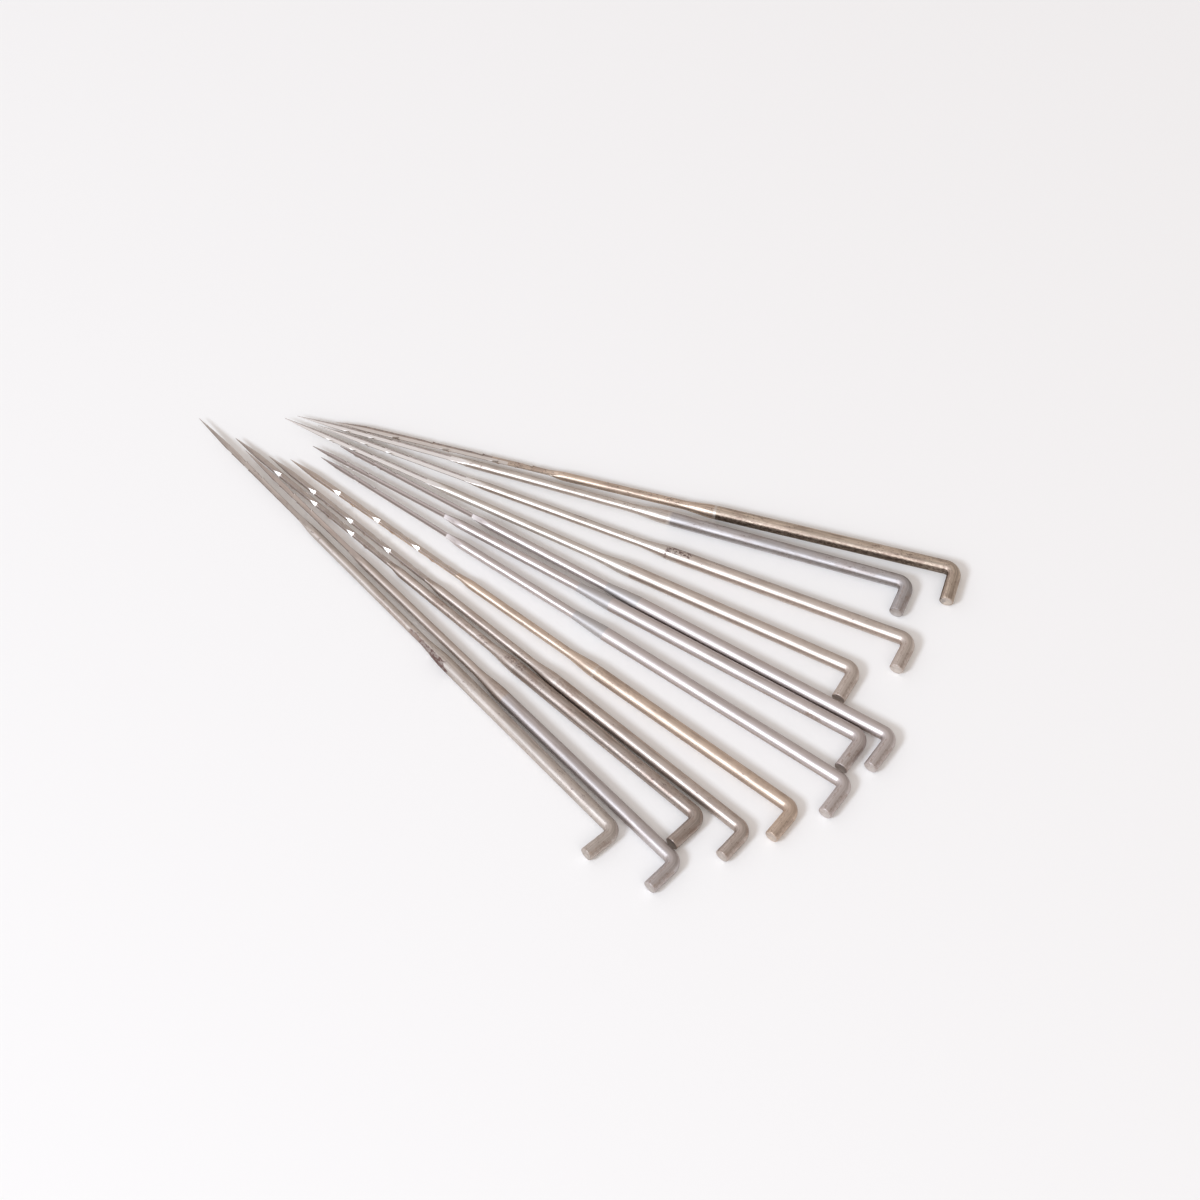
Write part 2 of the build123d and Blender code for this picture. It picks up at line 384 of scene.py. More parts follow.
def cut_barbs(kind, stations, edge):
    """Cut the barbs of the edge that is uppermost, with their cheeks spread and lips raised."""
    radius = kind.blade_diameter / 2
    reach = BARB_REACH * radius
    places = sorted({station[0] for station in stations})
    for throat in barb_throats(kind, edge):
        for x in places:
            share = (x - throat) / kind.barb_ramp
            if -1e-4 < share < 0.999:
                # the ramp: flat, and widest at the throat
                floor = radius - kind.barb_depth * (1 - share)
                half = kind.barb_width / 2 * (1 - share)
                press_top(x, reach, floor, half)
            elif throat - LIP < x < throat - 0.01 * MM:
                # the lip behind the throat, which spreads most right beside it
                rise = 1 - (throat - x) / LIP
                up = 1 + rise * kind.kick_up / radius
                across = 1 + rise ** 3 * (kind.barb_width / (2 * reach) - 1)
                lift_top(x, reach, up, across)


def select_top(x, reach):
    """Select the uppermost points of one ring, as far as the reach to each side."""
    return select_points(
        lambda spot: abs(spot.x - x) < SAME_RING and spot.z > 0 and abs(spot.y) < reach
    )


def press_top(x, reach, floor, half):
    """Press the uppermost points of one ring down to a floor, and spread them sideways."""
    if select_top(x, reach):
        # these points are noted as a barb's cut, which the finishes paint paler as a painted
        # highlight
        note_points("cut")
        across = max(half / reach, 0.25)
        bpy.ops.transform.resize(value=(1, 1, 0), center_override=(x, 0, floor))
        bpy.ops.transform.resize(value=(1, across, 1), center_override=(x, 0, 0))


def lift_top(x, reach, up, across):
    """Raise the uppermost points of one ring and spread them sideways."""
    if select_top(x, reach):
        bpy.ops.transform.resize(value=(1, across, up), center_override=(x, 0, 0))


def note_points(name):
    """Keep note of the selected points under a name, for the finishes."""
    mesh = bmesh.from_edit_mesh(bpy.context.edit_object.data)
    layer = mesh.verts.layers.float.get(name) or mesh.verts.layers.float.new(name)
    for vert in mesh.verts:
        if vert.select:
            vert[layer] = 1


def straight_wire(name, kind):
    """One kind of needle without its crank: shank, shoulder, neck, taper, blade and point."""
    stations = wire_stations(kind)
    wire = add_disc(name, stations[0][1], stations[0][0])
    draw_out([(x, radius) for x, radius, flat in stations])
    bpy.ops.mesh.select_mode(type="VERT")
    for _ in range(EDGES):
        for x, radius, flat in stations:
            if flat < radius:
                press_flat(x, flat)
        turn_wire(radians(360 / EDGES))
    for edge in range(EDGES):
        cut_barbs(kind, stations, edge)
        turn_wire(radians(360 / EDGES))
    bpy.ops.object.mode_set(mode="OBJECT")
    return wire


def copy_of(master, name):
    """A copy with a mesh of its own."""
    bpy.ops.object.select_all(action="DESELECT")
    master.select_set(True)
    bpy.context.view_layer.objects.active = master
    bpy.ops.object.duplicate(linked=False)
    twin = bpy.context.active_object
    twin.name = twin.data.name = name
    return twin


def bend_crank(crank, crank_angle):
    """Bend the open end of the wire round to the crank and finish its cut end."""
    wire = bpy.context.scene.felting_wire
    radius = wire.diameter / 2
    setback = wire.bend_radius / tan(crank_angle / 2)
    out = Vector((cos(crank_angle), sin(crank_angle), 0))

    bpy.ops.mesh.select_mode(type="FACE")
    select_end(lambda spot: spot.x < WIRE_START + MM)
    extrude((setback - WIRE_START, 0, 0))
    bpy.ops.mesh.spin(
        steps=18, angle=pi - crank_angle, dupli=False, use_auto_merge=False,
        center=(setback, wire.bend_radius, 0), axis=(0, 0, 1),
    )
    straight = crank - wire.bevel - setback
    for share in (0.5, 0.5):
        extrude(out * straight * share)
    end = out * (crank - wire.bevel)
    # the broken edge in three rings: how far each rises through the bevel, and its width
    for rise, width in ((0.45, 0.988), (0.8, 0.958), (1, 0.914)):
        extrude((0, 0, 0))
        bpy.ops.transform.translate(value=end + out * wire.bevel * rise - face_middle())
        narrower = width / last_width(radius)
        bpy.ops.transform.resize(value=(narrower,) * 3, center_override=face_middle())
    # a flat rim round a shallow dish
    bpy.ops.mesh.inset(thickness=0.12 * MM)
    # the end face is noted, which the finishes paint lighter as painted light
    note_points("end")
    bpy.ops.mesh.inset(thickness=0.25 * MM, depth=-0.015 * MM)


def face_middle():
    """The middle of the face that is selected."""
    mesh = bmesh.from_edit_mesh(bpy.context.edit_object.data)
    return next(face.calc_center_median() for face in mesh.faces if face.select)


def last_width(radius):
    """How wide the selected face is, as a share of the wire."""
    mesh = bmesh.from_edit_mesh(bpy.context.edit_object.data)
    face = next(face for face in mesh.faces if face.select)
    return (face.verts[0].co - face.calc_center_median()).length / radius


def keep_grain(needle, crank_angle):
    """Keep each point's place on the straightened wire, in millimetres, for the finishes."""
    wire = bpy.context.scene.felting_wire
    spots = np.array([vert.co for vert in needle.data.vertices])
    setback = wire.bend_radius / tan(crank_angle / 2)
    from_centre = spots[:, :2] - (setback, wire.bend_radius)
    swept = np.arctan2(-from_centre[:, 0], -from_centre[:, 1])
    swept[swept < -pi / 2] += 2 * pi
    bend = pi - crank_angle
    out = np.array((cos(crank_angle), sin(crank_angle)))
    across = np.array((out[1], -out[0]))
    grain = spots.copy()
    bent = (spots[:, 0] < setback) & (swept > 0) & (swept <= bend)
    grain[bent, 0] = setback - wire.bend_radius * swept[bent]
    grain[bent, 1] = wire.bend_radius - np.linalg.norm(from_centre[bent], axis=1)
    crank = (spots[:, 0] < setback) & (swept > bend)
    reach = spots[crank][:, :2] @ out
    grain[crank, 0] = setback - wire.bend_radius * bend - (reach - setback)
    grain[crank, 1] = spots[crank][:, :2] @ across
    layer = needle.data.attributes.new("wire", "FLOAT_VECTOR", "POINT")
    layer.data.foreach_set("vector", (grain / MM).astype(np.float32).ravel())


def finish_needle(needle, corner, heading, crank_angle):
    """Turn the needle's faces outwards, keep its grain, shade it and lay it in its place."""
    bpy.ops.mesh.select_all(action="SELECT")
    bpy.ops.mesh.normals_make_consistent(inside=False)
    bpy.ops.object.mode_set(mode="OBJECT")
    keep_grain(needle, crank_angle)
    needle.location = (corner.x, corner.y, bpy.context.scene.felting_wire.diameter / 2)
    needle.rotation_euler = (0, 0, heading)
    bpy.ops.object.transform_apply(location=True, rotation=True, scale=True)
    bpy.ops.object.shade_smooth_by_angle(angle=radians(30))


def make_needles(kind_name):
    """All the needles of one kind."""
    master = straight_wire(f"{kind_name}_wire", sizes(kind_name))
    for number, (kind, roll, finish) in enumerate(NEEDLES, start=1):
        if kind != kind_name:
            continue
        node = f"needle_{number:02d}"
        corner, heading, crank, crank_angle = read_place(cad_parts[node])
        needle = copy_of(master, f"steel_{node}")
        needle.rotation_euler.x = -radians(roll)
        bpy.ops.object.transform_apply(location=False, rotation=True, scale=False)
        bpy.ops.object.mode_set(mode="EDIT")
        bend_crank(crank, crank_angle)
        finish_needle(needle, corner, heading, crank_angle)
        needle.data.materials.clear()
        needle.data.materials.append(steel(finish))
        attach(needle, node)
        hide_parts(node)
    bpy.data.objects.remove(master)


# ---------------------------------------------------------------- finishes

# A mark has a colour, its start and end along the wire in millimetres from the bend, the side
# that it lies on and how far it spreads round to each side of that, in degrees from the top
# towards the crank's side, then its raggedness, cover, roughness and patchiness.
#
# Every crank gets painted shade down its side away from the point, and a patchy brown streak
# along its top.
CRANK_SHADE_AND_STREAK = (
    ("trace", -9, -0.8, -60, 32, 0.08, 0.5, 0.45, 0.7),
    ("trace", -9, -0.4, 14, 9, 0.1, 0.55, 0.45, 0.9),
)
# The grey needles get painted shade along the crank's side, and are matte before the shoulder
# and on it.
GREY_SHANK = (
    ("trace", -9, 33.6, 100, 20, 0.05, 0.6, 0.45, 0.2),
    ("grey", 22, 33.6, 8, 60, 0.08, 0.6, 0.6, 0.4),
    ("matte", 33.6, 38, 0, 240, 0.02, 1, 0.6, 0),
)
# Painted light on the blades. A thin blade gets painted shade over its upper face and a darker
# band of it towards the crank's side, and a painted highlight along its edge on that side.
THIN_BLADE = (
    ("blade_shade", 56.6, 76, 25, 62, 0.03, 0.95, 0.55, 0),
    ("oxide_and_shade", 56.6, 76, 52, 24, 0.03, 0.6, 0.6, 0),
    ("pale", 56.6, 76, 92, 12, 0.02, 0.95, 0.4, 0),
)
# A slender blade gets a painted highlight between its edges, painted shade along both edges,
# and patches of dark along the edge away from the crank's side.
LIT_AND_SHADED_BLADE = (
    ("pale", 54, 76, 40, 42, 0.04, 0.9, 0.42, 0.1),
    ("blade_shade", 56, 76, 92, 14, 0.04, 0.85, 0.5, 0.2),
    ("blade_shade", 56, 76, -30, 27, 0.04, 0.9, 0.55, 0.2),
    ("oxide_and_shade", 57, 74, -34, 6, 0.08, 0.6, 0.5, 0.8),
)
# A beige blade gets painted shade along its edge on the crank's side.
BEIGE_BLADE = (
    ("blade_shade", 56, 76, 72, 20, 0.06, 0.9, 0.5, 0.3),
)
# A thick blade gets a painted highlight on its face away from the crank's side, and painted
# shade along the edge nearest the top.
THICK_BLADE = (
    ("pale", 49.4, 76, -28, 46, 0.06, 0.7, 0.5, 0.3),
    ("blade_shade", 49.4, 76, 42, 11, 0.04, 0.95, 0.6, 0.1),
)
# What each finish is made of. shank and neck are colours with their roughness, and change is
# where one gives way to the other, in millimetres from the bend. grain, blotches and pits say
# how strongly these show, and cut_glint how strongly the barbs' cuts are painted pale as a
# painted highlight.
FINISHES = {
    "rusted": dict(
        shank=("dull", 0.45), neck=("dull", 0.43), change=28.4,
        grain=0.5, blotches=0.25, pits=0.6,
        marks=(
            ("rust", 28.3, 31.5, 98, 38, 0.35, 0.97, 0.75, 0.25),
            ("rust", 29.2, 35.4, 57, 34, 0.4, 0.97, 0.75, 0.4),
            ("trace", 33.5, 41, 66, 30, 0.7, 0.6, 0.5, 0.6),
            *BEIGE_BLADE,
        ),
    ),
    "lilac": dict(
        shank=("lilac", 0.43), neck=("umber", 0.41), change=28.6,
        grain=0.4, blotches=0.2, pits=0.25,
        marks=(("trace", 28.8, 31.5, -20, 40, 0.4, 0.4, 0.45, 0.7), *BEIGE_BLADE),
    ),
    "ringed": dict(
        shank=("dark", 0.37), neck=("umber", 0.41), change=28.8,
        grain=0.6, blotches=0.6, pits=0.7,
        marks=(
            ("rust", 27.4, 30.4, -15, 35, 0.4, 0.7, 0.5, 1.2),
            ("pale", 28.55, 28.8, 40, 240, 0.05, 0.25, 0.4, 0),
            *THICK_BLADE,
        ),
        cut_glint=1,
    ),
    "umber": dict(
        shank=("umber", 0.39), neck=("umber", 0.41), change=28.6,
        grain=0.45, blotches=0.35, pits=0.5,
        marks=(
            ("trace", 25.4, 28.5, -10, 45, 0.4, 0.6, 0.5, 0.8),
            ("pale", 28.5, 28.8, 40, 240, 0.05, 0.25, 0.4, 0),
            *THICK_BLADE,
        ),
        cut_glint=1,
    ),
    "golden": dict(
        shank=("golden", 0.47), neck=("golden", 0.43), change=28.6,
        grain=0.35, blotches=0.35, pits=0.4,
        marks=(
            # painted shade along the crank's side of the shank
            ("trace", -9, 28.4, 88, 17, 0.05, 0.7, 0.45, 0.2),
            ("trace", 23.5, 28.4, -5, 50, 0.5, 0.4, 0.45, 0.6),
            ("pale", 28.4, 28.7, 40, 240, 0.05, 0.4, 0.4, 0),
            *THICK_BLADE,
        ),
        cut_glint=1,
    ),
    "grey": dict(
        shank=("grey", 0.48), neck=("grey", 0.43), change=33.7,
        grain=0.3, blotches=0.12, pits=0.15,
        marks=(*GREY_SHANK, *THIN_BLADE),
    ),
    "grey_dull": dict(
        shank=("grey", 0.48), neck=("grey", 0.43), change=33.7,
        grain=0.45, blotches=0.2, pits=0.25,
        marks=(
            *GREY_SHANK,
            ("trace", 5.2, 7.2, 70, 16, 0.4, 0.8, 0.6, 0.6),
            ("trace", -2.9, -2.55, -5, 14, 0.3, 0.8, 0.6, 0.3),
            *THIN_BLADE,
        ),
    ),
    "grey_clean": dict(
        shank=("grey", 0.49), neck=("grey", 0.45), change=33.7,
        grain=0.3, blotches=0.1, pits=0.1,
        marks=(
            # painted shade along the crank's side of the shank
            ("trace", -9, 33.6, 100, 20, 0.05, 0.5, 0.45, 0.2),
            ("grey", 22, 33.6, 8, 60, 0.08, 0.6, 0.6, 0.4),
            ("matte", 33.6, 38, 0, 240, 0.02, 0.9, 0.58, 0),
            *THIN_BLADE,
        ),
    ),
    "beige": dict(
        shank=("beige", 0.48), neck=("bare", 0.45), change=28.8,
        grain=0.35, blotches=0.2, pits=0.2,
        # the first mark is painted shade along the crank's side of the shank and neck
        marks=(("trace", -9, 28.8, 76, 16, 0.05, 0.7, 0.45, 0.2), *LIT_AND_SHADED_BLADE),
    ),
    "stained": dict(
        shank=("beige", 0.47), neck=("bare", 0.45), change=28.8,
        grain=0.4, blotches=0.25, pits=0.45,
        marks=(
            # painted shade along the crank's side of the shank and neck
            ("trace", -9, 56, 74, 17, 0.05, 0.75, 0.45, 0.2),
            ("rust", 27.3, 30.4, -6, 30, 0.35, 0.95, 0.65, 1),
            ("rust", 30.15, 30.4, 55, 70, 0.05, 0.7, 0.6, 0.5),
            ("oxide_and_shade", 1, 28.6, -50, 6, 0.12, 0.6, 0.5, 0.7),
            ("rust", 40.6, 42.2, -40, 18, 0.15, 0.8, 0.6, 0.5),
            *LIT_AND_SHADED_BLADE,
        ),
    ),
    "blued": dict(
        shank=("blued", 0.52), neck=("bare", 0.43), change=28.9,
        grain=0.45, blotches=0.3, pits=0.6,
        marks=(
            # painted shade along the crank's side, on the shank and on the neck
            ("oxide_and_shade", -9, 28.8, 74, 17, 0.05, 0.55, 0.45, 0.2),
            ("trace", 28.8, 56, 74, 17, 0.05, 0.6, 0.45, 0.2),
            ("pale", 28.7, 29.2, 40, 240, 0.1, 0.4, 0.38, 0),
            *LIT_AND_SHADED_BLADE,
        ),
    ),
    "aged": dict(
        shank=("aged", 0.45), neck=("golden", 0.39), change=28.7,
        grain=0.85, blotches=0.5, pits=0.8,
        marks=(
            ("trace", -9, 28.6, 50, 22, 0.15, 0.7, 0.45, 0.8),
            ("oxide_and_shade", -9, 28.6, 96, 44, 0.12, 0.9, 0.4, 0.3),
            ("pale", 28.6, 28.9, 40, 240, 0.05, 0.6, 0.4, 0),
            *LIT_AND_SHADED_BLADE,
        ),
    ),
}


def new_group(name, inputs, outputs):
    """An empty shader node group with its sockets, and its input and output nodes."""
    group = bpy.data.node_groups.new(name, "ShaderNodeTree")
    for socket, kind, value in inputs:
        made = group.interface.new_socket(socket, in_out="INPUT", socket_type=kind)
        if value is not None:
            made.default_value = value
    for socket, kind in outputs:
        group.interface.new_socket(socket, in_out="OUTPUT", socket_type=kind)
    return group, group.nodes.new("NodeGroupInput"), group.nodes.new("NodeGroupOutput")


def feed(tree, socket, value):
    """Link a socket to another, or set its value."""
    if isinstance(value, bpy.types.NodeSocket):
        tree.links.new(value, socket)
    else:
        socket.default_value = value


def sum_up(tree, operation, first, second=0.0, clamp=False):
    """A Math node's result."""
    node = tree.nodes.new("ShaderNodeMath")
    node.operation = operation
    node.use_clamp = clamp
    feed(tree, node.inputs[0], first)
    feed(tree, node.inputs[1], second)
    return node.outputs[0]


def stretch(tree, place, amounts):
    """A place with each of its directions scaled."""
    node = tree.nodes.new("ShaderNodeVectorMath")
    node.operation = "MULTIPLY"
    feed(tree, node.inputs[0], place)
    node.inputs[1].default_value = amounts
    return node.outputs[0]


def noise(tree, place, scale, detail=3.0, roughness=0.5):
    """A Noise Texture's value."""
    node = tree.nodes.new("ShaderNodeTexNoise")
    feed(tree, node.inputs["Vector"], place)
    feed(tree, node.inputs["Scale"], scale)
    feed(tree, node.inputs["Detail"], detail)
    feed(tree, node.inputs["Roughness"], roughness)
    return node.outputs["Fac"]


def step_up(tree, value, low, high, to_low=0.0, to_high=1.0):
    """A smooth step from one value to another."""
    node = tree.nodes.new("ShaderNodeMapRange")
    node.interpolation_type = "SMOOTHSTEP"
    sockets = ("Value", "From Min", "From Max", "To Min", "To Max")
    for socket, amount in zip(sockets, (value, low, high, to_low, to_high)):
        feed(tree, node.inputs[socket], amount)
    return node.outputs["Result"]


def blend_colour(tree, factor, first, second, way="MIX"):
    """A Mix node's colour."""
    node = tree.nodes.new("ShaderNodeMix")
    node.data_type = "RGBA"
    node.blend_type = way
    feed(tree, node.inputs["Factor"], factor)
    feed(tree, node.inputs["A"], first)
    feed(tree, node.inputs["B"], second)
    return node.outputs["Result"]


def blend_value(tree, factor, first, second):
    """A Mix node's value."""
    node = tree.nodes.new("ShaderNodeMix")
    feed(tree, node.inputs["Factor"], factor)
    feed(tree, node.inputs["A"], first)
    feed(tree, node.inputs["B"], second)
    return node.outputs["Result"]


def grain_group():
    """Fine lines that the drawing die leaves along the wire."""
    group, given, result = new_group(
        "Drawn grain",
        (("Wire place", "NodeSocketVector", None), ("Strength", "NodeSocketFloat", 0.5)),
        (("Shade", "NodeSocketFloat"), ("Height", "NodeSocketFloat")),
    )
    place = given.outputs["Wire place"]
    wide = noise(group, stretch(group, place, (0.1, 3.6, 3.6)), 1, 2)
    fine = noise(group, stretch(group, place, (0.3, 11, 11)), 1, 3, 0.6)
    wide_lines = step_up(group, wide, 0.3, 0.66)
    fine_lines = step_up(group, fine, 0.3, 0.7)
    lines = blend_value(group, 0.4, wide_lines, fine_lines)
    full_shade = step_up(group, lines, 0, 1, 0.56, 1.17)
    shade = blend_value(group, given.outputs["Strength"], 1, full_shade)
    feed(group, result.inputs["Shade"], shade)
    feed(group, result.inputs["Height"], lines)
    return group


def blotch_group():
    """Faint cloudy patches of film."""
    group, given, result = new_group(
        "Film blotches",
        (("Wire place", "NodeSocketVector", None), ("Strength", "NodeSocketFloat", 0.2)),
        (("Cover", "NodeSocketFloat"),),
    )
    place, strength = given.outputs["Wire place"], given.outputs["Strength"]
    clouds = noise(group, stretch(group, place, (0.45, 1.1, 1.1)), 1, 4, 0.62)
    cover = sum_up(group, "MULTIPLY", step_up(group, clouds, 0.42, 0.66), strength)
    feed(group, result.inputs["Cover"], cover)
    return group


def pit_group():
    """Tiny dark pits, drawn out a little along the wire."""
    group, given, result = new_group(
        "Pits",
        (("Wire place", "NodeSocketVector", None), ("Amount", "NodeSocketFloat", 0.3)),
        (("Mask", "NodeSocketFloat"),),
    )
    place = given.outputs["Wire place"]
    spots = noise(group, stretch(group, place, (3, 6.5, 6.5)), 1, 2, 0.6)
    patches = noise(group, stretch(group, place, (0.35, 0.8, 0.8)), 1, 1)
    # the pits crowd together where the patches are
    crowding = sum_up(group, "MULTIPLY", patches, 0.34)
    crowding = sum_up(group, "MULTIPLY", given.outputs["Amount"], crowding)
    cut = sum_up(group, "SUBTRACT", 0.74, crowding)
    mask = step_up(group, spots, cut, sum_up(group, "ADD", cut, 0.07))
    feed(group, result.inputs["Mask"], mask)
    return group


def mark_group():
    """A patch between two places along the wire, on one side of it, with a ragged border.

    The border is soft over 0.14 mm along the wire and 0.12 radians round it.
    """
    group, given, result = new_group(
        "Mark on wire",
        (
            ("Wire place", "NodeSocketVector", None),
            ("Start", "NodeSocketFloat", 0.0),
            ("End", "NodeSocketFloat", 1.0),
            ("Side", "NodeSocketFloat", 0.0),
            ("Spread", "NodeSocketFloat", 3.2),
            ("Raggedness", "NodeSocketFloat", 0.2),
            ("Cover", "NodeSocketFloat", 1.0),
            ("Patchiness", "NodeSocketFloat", 0.0),
        ),
        (("Mask", "NodeSocketFloat"),),
    )
    inputs = given.outputs
    split = group.nodes.new("ShaderNodeSeparateXYZ")
    feed(group, split.inputs["Vector"], inputs["Wire place"])
    ragged = noise(group, stretch(group, inputs["Wire place"], (1.8, 3.6, 3.6)), 1, 5, 0.7)
    shift = sum_up(group, "MULTIPLY", sum_up(group, "SUBTRACT", ragged, 0.5), 5)
    shift = sum_up(group, "MULTIPLY", shift, inputs["Raggedness"])
    along = sum_up(group, "ADD", split.outputs["X"], shift)
    softness, round_softness = 0.07, 0.06
    past_start = sum_up(group, "SUBTRACT", along, inputs["Start"])
    begun = step_up(group, past_start, -softness, softness)
    before_end = sum_up(group, "SUBTRACT", inputs["End"], along)
    ended = step_up(group, before_end, -softness, softness)
    angle = sum_up(group, "ARCTAN2", split.outputs["Y"], split.outputs["Z"])
    aside = group.nodes.new("ShaderNodeMath")
    aside.operation = "WRAP"
    feed(group, aside.inputs[0], sum_up(group, "SUBTRACT", angle, inputs["Side"]))
    feed(group, aside.inputs[1], pi)
    feed(group, aside.inputs[2], -pi)
    turned = sum_up(group, "ABSOLUTE", aside.outputs[0])
    reach = sum_up(group, "SUBTRACT", inputs["Spread"], turned)
    reach = sum_up(group, "ADD", reach, sum_up(group, "MULTIPLY", shift, 0.4))
    near = step_up(group, reach, -round_softness, round_softness)
    mask = sum_up(group, "MULTIPLY", sum_up(group, "MULTIPLY", begun, ended), near)
    patches = noise(group, stretch(group, inputs["Wire place"], (2.6, 4.2, 4.2)), 1, 4, 0.65)
    gaps = sum_up(group, "MULTIPLY", step_up(group, patches, 0.56, 0.46), inputs["Patchiness"])
    mask = sum_up(group, "MULTIPLY", mask, sum_up(group, "SUBTRACT", 1, gaps, clamp=True))
    feed(group, result.inputs["Mask"], sum_up(group, "MULTIPLY", mask, inputs["Cover"]))
    return group


def put_group(tree, group, **values):
    """A group node in a material, with its inputs fed."""
    node = tree.nodes.new("ShaderNodeGroup")
    node.node_tree = bpy.data.node_groups.get(group) or GROUPS[group]()
    for socket, value in values.items():
        feed(tree, node.inputs[socket.replace("_", " ").capitalize()], value)
    return node.outputs


GROUPS = {
    "Drawn grain": grain_group, "Film blotches": blotch_group,
    "Pits": pit_group, "Mark on wire": mark_group,
}


def steel(name):
    """The material of one finish."""
    finish = FINISHES[name]
    colours = bpy.context.scene.felting_colours
    material = bpy.data.materials.new(f"steel_{name}")
    material.use_nodes = True
    tree = material.node_tree
    shader = tree.nodes["Principled BSDF"]
    attribute = tree.nodes.new("ShaderNodeAttribute")
    attribute.attribute_name = "wire"
    place = attribute.outputs["Vector"]
    split = tree.nodes.new("ShaderNodeSeparateXYZ")
    feed(tree, split.inputs["Vector"], place)

    def tint(key):
        return (*getattr(colours, key), 1)

    grain = put_group(tree, "Drawn grain", wire_place=place, strength=finish["grain"])
    film = put_group(tree, "Film blotches", wire_place=place, strength=finish["blotches"])
    cover = film["Cover"]
    pits = put_group(tree, "Pits", wire_place=place, amount=finish["pits"])["Mask"]
    (shank_tint, shank_rough), (neck_tint, neck_rough) = finish["shank"], finish["neck"]
    half_change = 0.12
    drawn = step_up(tree, split.outputs["X"], finish["change"] - half_change,
                    finish["change"] + half_change)
    base = blend_colour(tree, drawn, tint(shank_tint), tint(neck_tint))
    rough = blend_value(tree, drawn, shank_rough, neck_rough)
    base = blend_colour(tree, cover, base, tint("trace"))
    base = blend_colour(tree, 1, base, grain["Shade"], "MULTIPLY")
    base = blend_colour(tree, sum_up(tree, "MULTIPLY", pits, 0.6), base, tint("rust"))
    rough = sum_up(tree, "ADD", rough, sum_up(tree, "MULTIPLY", cover, 0.12))
    rough = blend_value(tree, pits, rough, 0.55)
    metal = 1.0
    # the marks lay stains and rust, and painted light and shade, over the base colour
    for mark in (*CRANK_SHADE_AND_STREAK, *finish["marks"]):
        key, start, end, side, spread, ragged, amount, dullness, patchy = mark
        mask = put_group(
            tree, "Mark on wire", wire_place=place, start=start, end=end, side=radians(side),
            spread=radians(spread), raggedness=ragged, cover=amount, patchiness=patchy,
        )["Mask"]
        base = blend_colour(tree, mask, base, tint(key))
        rough = blend_value(tree, mask, rough, dullness)
        if key == "rust":
            metal = blend_value(tree, mask, metal, 0.25)
    # painted highlights: the barbs' cuts and the cut end are painted paler than what lies round
    # them
    for noted, brightness in (("cut", finish.get("cut_glint", 0.25)), ("end", 0.5)):
        attribute = tree.nodes.new("ShaderNodeAttribute")
        attribute.attribute_name = noted
        painted_glint = sum_up(tree, "MULTIPLY", attribute.outputs["Fac"], brightness)
        base = blend_colour(tree, painted_glint, base, tint("pale"))
        rough = blend_value(tree, painted_glint, rough, 0.34)
    bump = tree.nodes.new("ShaderNodeBump")
    bump.inputs["Strength"].default_value = 0.25
    bump.inputs["Distance"].default_value = 0.006 * MM
    feed(tree, bump.inputs["Height"], grain["Height"])
    feed(tree, shader.inputs["Base Color"], base)
    feed(tree, shader.inputs["Roughness"], rough)
    feed(tree, shader.inputs["Metallic"], metal)
    feed(tree, shader.inputs["Normal"], bump.outputs["Normal"])
    shader.inputs["Specular Tint"].default_value = (0.55, 0.53, 0.51, 1)
    return material


# ---------------------------------------------------------------- table, lights and camera


# How bright the room is from its left to its right.
ROOM_TINTS = (
    (0.0, (0.68, 0.655, 0.655)),
    (0.22, (0.68, 0.65, 0.65)),
    (0.35, (0.64, 0.60, 0.59)),
    (0.5, (0.58, 0.54, 0.52)),
    (0.64, (0.51, 0.47, 0.445)),
    (1.0, (0.38, 0.345, 0.32)),
)


def add_panel_light(name, direction, distance, width, height, power, tint):
    """A soft panel of light that faces the needles."""
    place = Vector(direction).normalized() * distance
    bpy.ops.object.light_add(type="AREA", location=place)
    lamp = bpy.context.active_object
    lamp.name = lamp.data.name = name
    lamp.rotation_euler = (-place).to_track_quat("-Z", "Y").to_euler()
    lamp.data.shape = "RECTANGLE"
    lamp.data.size, lamp.data.size_y = width, height
    lamp.data.energy = power
    lamp.data.color = tint


def build_room():
    """The light of a pale room, brighter and cooler towards a window wall on the left."""
    world = bpy.data.worlds.new("soft_room")
    bpy.context.scene.world = world
    world.use_nodes = True
    nodes, links = world.node_tree.nodes, world.node_tree.links
    way = nodes.new("ShaderNodeTexCoord")
    split = nodes.new("ShaderNodeSeparateXYZ")
    across = nodes.new("ShaderNodeMapRange")
    across.inputs["From Min"].default_value = -1
    fall = nodes.new("ShaderNodeValToRGB")
    links.new(way.outputs["Generated"], split.inputs["Vector"])
    links.new(split.outputs["X"], across.inputs["Value"])
    links.new(across.outputs["Result"], fall.inputs["Fac"])
    links.new(fall.outputs["Color"], nodes["Background"].inputs["Color"])
    nodes["Background"].inputs["Strength"].default_value = 1.13
    stops = fall.color_ramp.elements
    while len(stops) < len(ROOM_TINTS):
        stops.new(0.5)
    for stop, (place, tint) in zip(stops, ROOM_TINTS):
        stop.position = place
        stop.color = (*tint, 1)


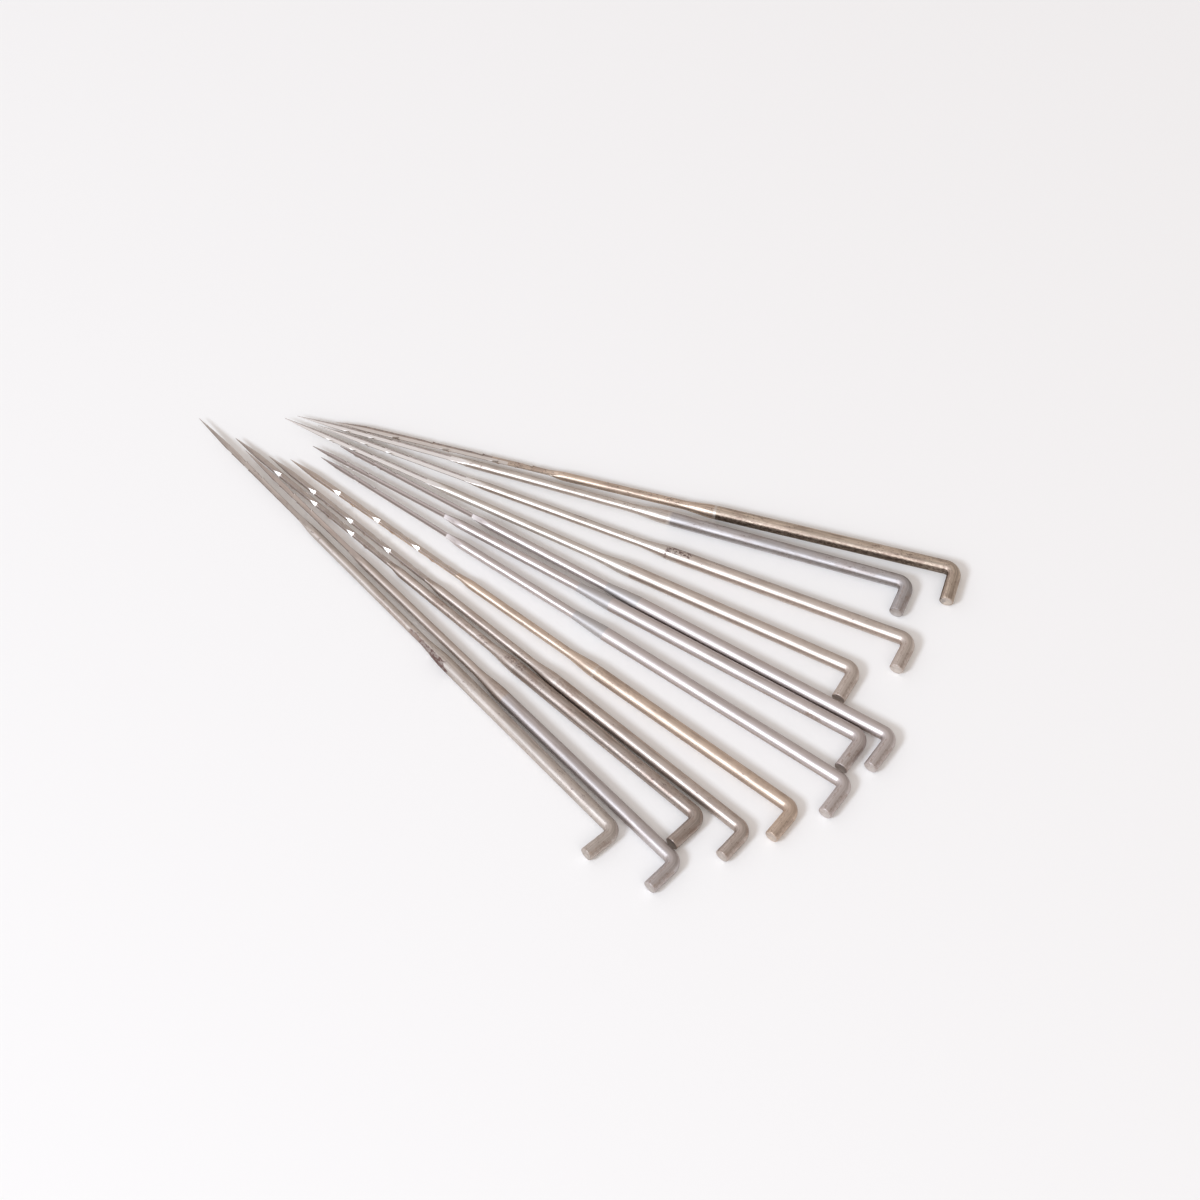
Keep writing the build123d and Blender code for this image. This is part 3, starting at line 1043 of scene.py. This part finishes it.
def build_stage():
    """The table, the studio light and the camera."""
    table_tint = (*bpy.context.scene.felting_colours.table, 1)
    bpy.ops.object.select_all(action="DESELECT")
    bpy.ops.mesh.primitive_plane_add(size=4, location=(0, 0, 0))
    table = bpy.context.active_object
    table.name = table.data.name = "table_top"
    material = bpy.data.materials.new("pale_table")
    material.use_nodes = True
    shader = material.node_tree.nodes["Principled BSDF"]
    shader.inputs["Base Color"].default_value = table_tint
    shader.inputs["Roughness"].default_value = 0.6
    shader.inputs["Specular IOR Level"].default_value = 0.2
    # a faint glow keeps the table pale right up to the needles
    shader.inputs["Emission Color"].default_value = table_tint
    shader.inputs["Emission Strength"].default_value = 0.05
    table.data.materials.append(material)

    build_room()
    add_panel_light(
        "left_softbox", direction=(-0.60, -0.50, 0.62), distance=1.2,
        width=0.32, height=0.26, power=8.9, tint=(0.785, 0.88, 1),
    )
    add_panel_light(
        "front_fill", direction=(0.25, -0.75, 0.62), distance=1.5,
        width=0.9, height=0.7, power=3.4, tint=(1, 0.96, 0.95),
    )

    bpy.ops.object.camera_add(location=CAMERA_PLACE, rotation=(radians(90 - CAMERA_DOWN), 0, 0))
    camera = bpy.context.active_object
    camera.data.sensor_width = 36
    camera.data.lens = 120
    camera.data.clip_start = 0.01
    bpy.context.scene.camera = camera
    bpy.context.scene.view_settings.view_transform = "Standard"


# ---------------------------------------------------------------- operators and panel


class FELTING_OT_coarse_needles(bpy.types.Operator):
    """Make the needles with long thick blades"""

    bl_idname = "felting.coarse_needles"
    bl_label = "Coarse Needles"
    bl_options = {"REGISTER", "UNDO"}

    def execute(self, context):
        make_needles("coarse")
        return {"FINISHED"}


class FELTING_OT_fine_needles(bpy.types.Operator):
    """Make the needles with thin blades"""

    bl_idname = "felting.fine_needles"
    bl_label = "Fine Needles"
    bl_options = {"REGISTER", "UNDO"}

    def execute(self, context):
        make_needles("fine")
        return {"FINISHED"}


class FELTING_OT_medium_needles(bpy.types.Operator):
    """Make the needles with long slender points"""

    bl_idname = "felting.medium_needles"
    bl_label = "Medium Needles"
    bl_options = {"REGISTER", "UNDO"}

    def execute(self, context):
        make_needles("medium")
        return {"FINISHED"}


class FELTING_OT_stage(bpy.types.Operator):
    """Set the table, the lights and the camera"""

    bl_idname = "felting.stage"
    bl_label = "Table and Light"
    bl_options = {"REGISTER", "UNDO"}

    def execute(self, context):
        build_stage()
        return {"FINISHED"}


class FELTING_PT_needles(bpy.types.Panel):
    """Lists the steps that build the fan of needles"""

    bl_label = "Felting Needles"
    bl_idname = "FELTING_PT_needles"
    bl_space_type = "VIEW_3D"
    bl_region_type = "UI"
    bl_category = "Felting"

    def draw(self, context):
        layout = self.layout
        for group, step in (
            ("felting_coarse", "felting.coarse_needles"),
            ("felting_fine", "felting.fine_needles"),
            ("felting_medium", "felting.medium_needles"),
        ):
            box = layout.box()
            for name in getattr(context.scene, group).bl_rna.properties.keys():
                if name not in {"rna_type", "name"}:
                    box.prop(getattr(context.scene, group), name)
            box.operator(step)
        layout.operator("felting.stage")


SETTINGS = {
    "felting_wire": WireSizes,
    "felting_coarse": CoarseSizes,
    "felting_fine": FineSizes,
    "felting_medium": MediumSizes,
    "felting_colours": FinishColours,
}
STEPS = (
    FELTING_OT_coarse_needles,
    FELTING_OT_fine_needles,
    FELTING_OT_medium_needles,
    FELTING_OT_stage,
)


def register():
    for settings in SETTINGS.values():
        bpy.utils.register_class(settings)
    for step in STEPS:
        bpy.utils.register_class(step)
    bpy.utils.register_class(FELTING_PT_needles)
    for name, settings in SETTINGS.items():
        setattr(bpy.types.Scene, name, PointerProperty(type=settings))


def unregister():
    for name in SETTINGS:
        delattr(bpy.types.Scene, name)
    bpy.utils.unregister_class(FELTING_PT_needles)
    for step in reversed(STEPS):
        bpy.utils.unregister_class(step)
    for settings in reversed(SETTINGS.values()):
        bpy.utils.unregister_class(settings)


def main():
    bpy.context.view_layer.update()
    register()
    bpy.ops.felting.coarse_needles()
    bpy.ops.felting.fine_needles()
    bpy.ops.felting.medium_needles()
    bpy.ops.felting.stage()


if __name__ == "__main__":
    main()
